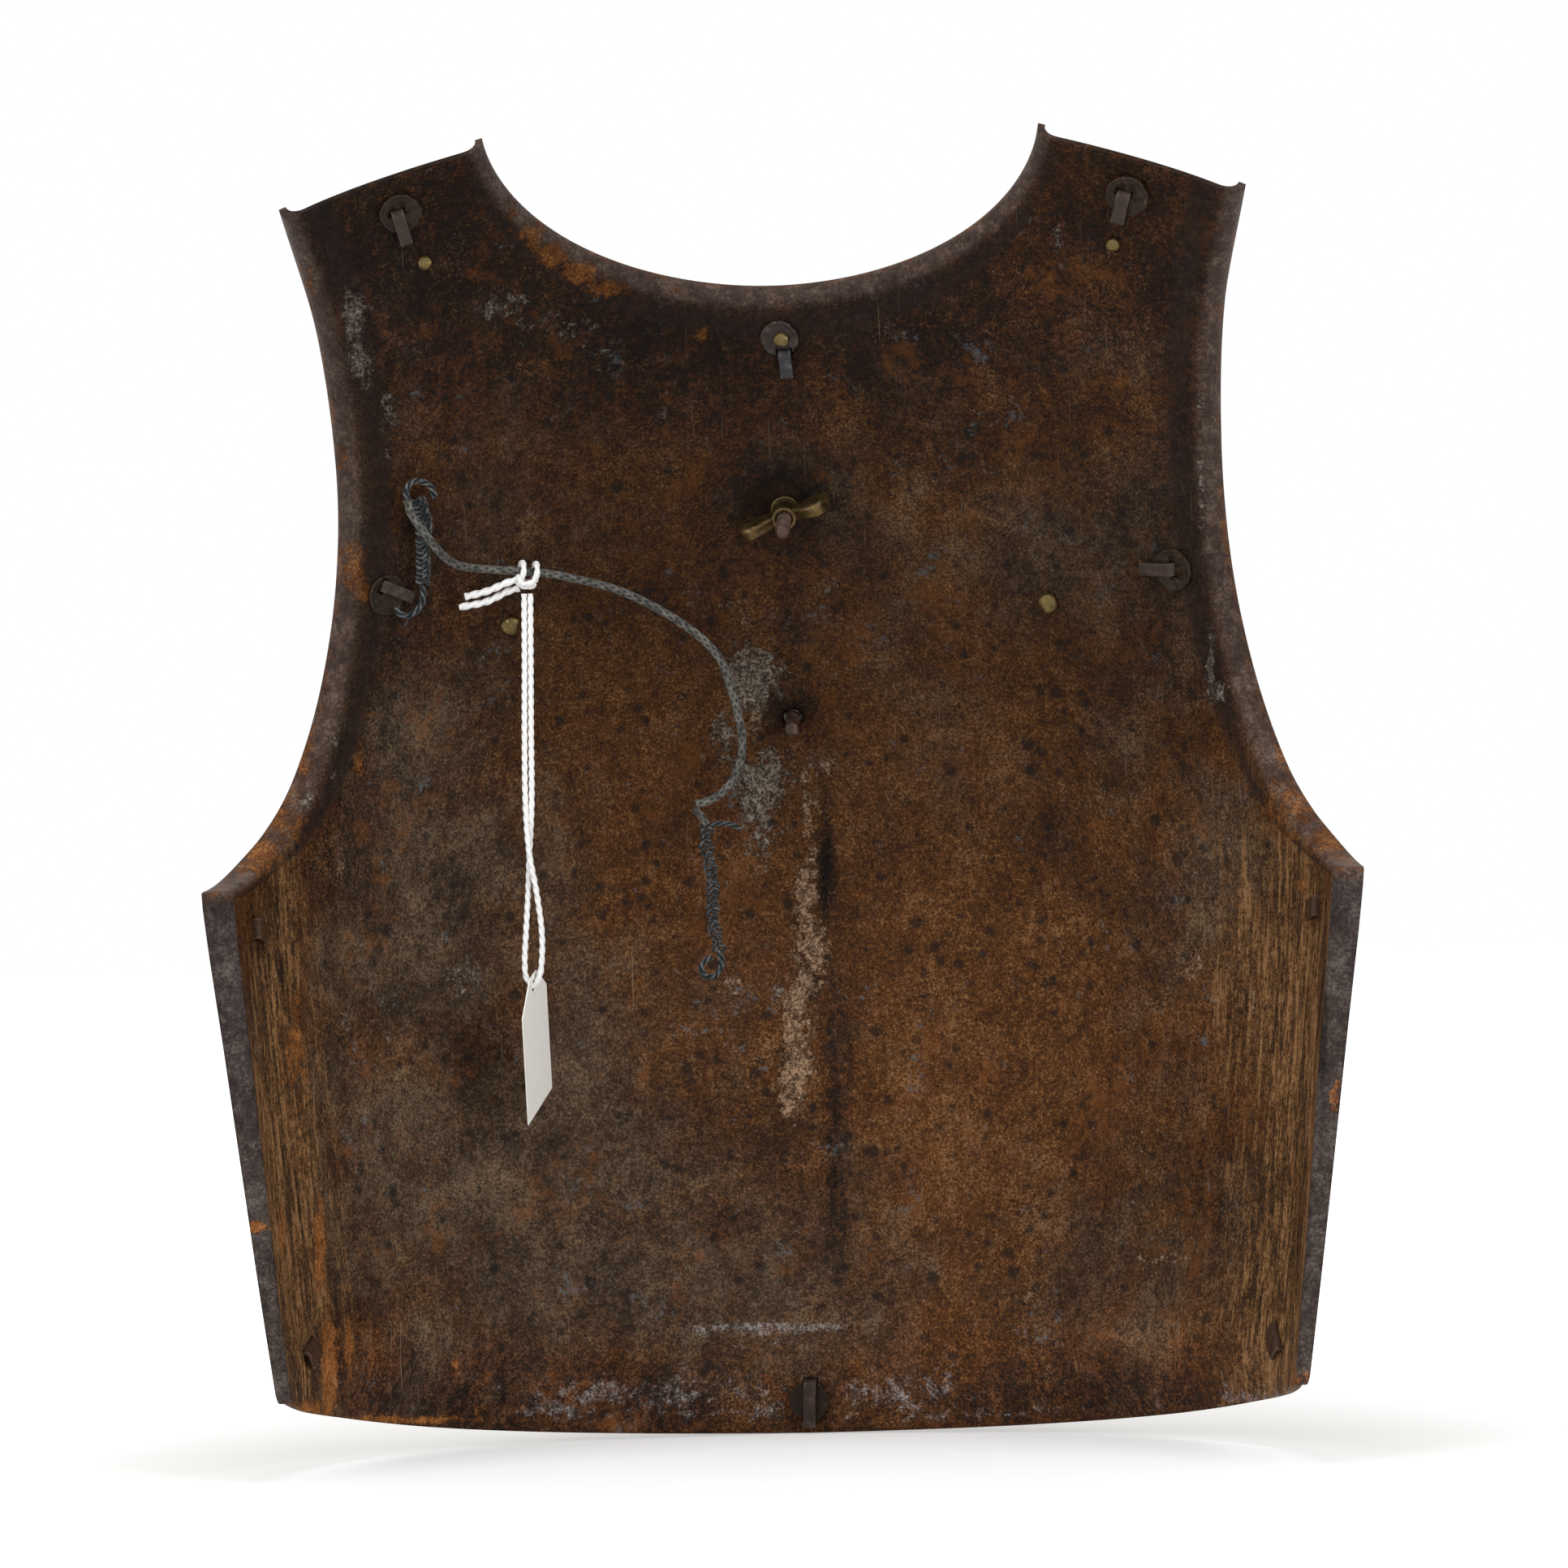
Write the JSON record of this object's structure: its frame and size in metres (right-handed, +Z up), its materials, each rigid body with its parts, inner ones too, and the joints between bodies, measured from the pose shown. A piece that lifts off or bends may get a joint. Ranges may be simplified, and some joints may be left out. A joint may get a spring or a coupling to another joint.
{
  "type": "cuirass breastplate",
  "caption": "Iron breastplate of a cavalry cuirass with a brass-faced front, bent fixing tangs, a wing-nut plaque stud, strap studs, and a tied cord with a blank string tag.",
  "frame": {"origin": "on the floor plane under the middle of the box of the metal pieces", "axes": "+Z up, +X to the right as the inside is seen, +Y away from the wearer: the front of the armour faces +Y and its hollow faces -Y"},
  "size_m": [0.3714, 0.1482, 0.4328],
  "materials": {
    "forged_iron": "dark brown patina with rust and pale mineral patches, satin on the rolled edges",
    "dark_iron": "dark browned iron, worn on the edges",
    "facing_brass": "aged satin brass",
    "old_brass": "dull greenish brown brass",
    "plaque_metal": "tarnished white metal",
    "dark_cord": "dark grey waxed plaited cord",
    "white_cotton": "soft white cotton string",
    "tag_paper": "matt cream card, blank"
  },
  "bodies": {
    "armour": {"breastplate_shell": "forged_iron", "facing_sheet": "facing_brass", "front_plaque": "plaque_metal", "plaque_boss": "facing_brass", "plaque_stud": "dark_iron", "locating_peg": "dark_iron", "tang_neck": "dark_iron", "tang_shoulder_left": "dark_iron", "tang_shoulder_right": "dark_iron", "tang_armhole_left": "dark_iron", "tang_armhole_right": "dark_iron", "tang_bottom": "dark_iron", "tang_side_upper_left": "dark_iron", "tang_side_upper_right": "dark_iron", "tang_side_lower_left": "dark_iron", "tang_side_lower_right": "dark_iron", "keeper_neck": "dark_iron", "keeper_shoulder_left": "dark_iron", "keeper_shoulder_right": "dark_iron", "keeper_armhole_left": "dark_iron", "keeper_armhole_right": "dark_iron", "keeper_bottom": "dark_iron", "strap_stud_left": "old_brass", "strap_stud_right": "old_brass", "shoulder_rivet_left": "old_brass", "shoulder_rivet_right": "old_brass", "neck_rivet": "old_brass", "cord_tie": "dark_cord", "cord_chain_lower": "dark_cord", "cord_chain_upper": "dark_cord", "cord_hook": "dark_cord", "cord_main": "dark_cord", "cord_fold": "dark_cord", "cord_short_end": "dark_cord", "cord_chain_tail": "dark_cord", "cord_end_loop": "dark_cord", "string_hitch": "white_cotton", "string_upper_end": "white_cotton", "string_lower_end": "white_cotton"},
    "nut_washer": {"stud_collar": "old_brass"},
    "wing_nut": {"wing_nut": "old_brass"},
    "tag_string": {"string_loop": "white_cotton"},
    "tag": {"paper_tag": "tag_paper"}
  },
  "joints": [
    {"name": "nut_advance", "type": "slide", "parent": "armour", "child": "nut_washer", "axis": [-0.0046, -0.9329, -0.3601], "range_m": [0, 0.01]},
    {"name": "nut_turn", "type": "hinge", "parent": "nut_washer", "child": "wing_nut", "pos_m": [-0.00028, 0.03485, 0.31251], "axis": [-0.0046, -0.9329, -0.3601], "range_deg": [0, 3610]},
    {"name": "string_swing", "type": "hinge", "parent": "armour", "child": "tag_string", "pos_m": [-0.08583, 0.01293, 0.28607], "axis": [0, -1, 0], "range_deg": [-2, 15]},
    {"name": "tag_turn", "type": "hinge", "parent": "tag_string", "child": "tag", "pos_m": [-0.08678, 0.01293, 0.15497], "axis": [0, 0, 1], "range_deg": [-30, 20]}
  ],
  "couplings": [
    {"joint": "nut_turn", "follows": "nut_advance", "rad_per_m": 6283.2}
  ]
}
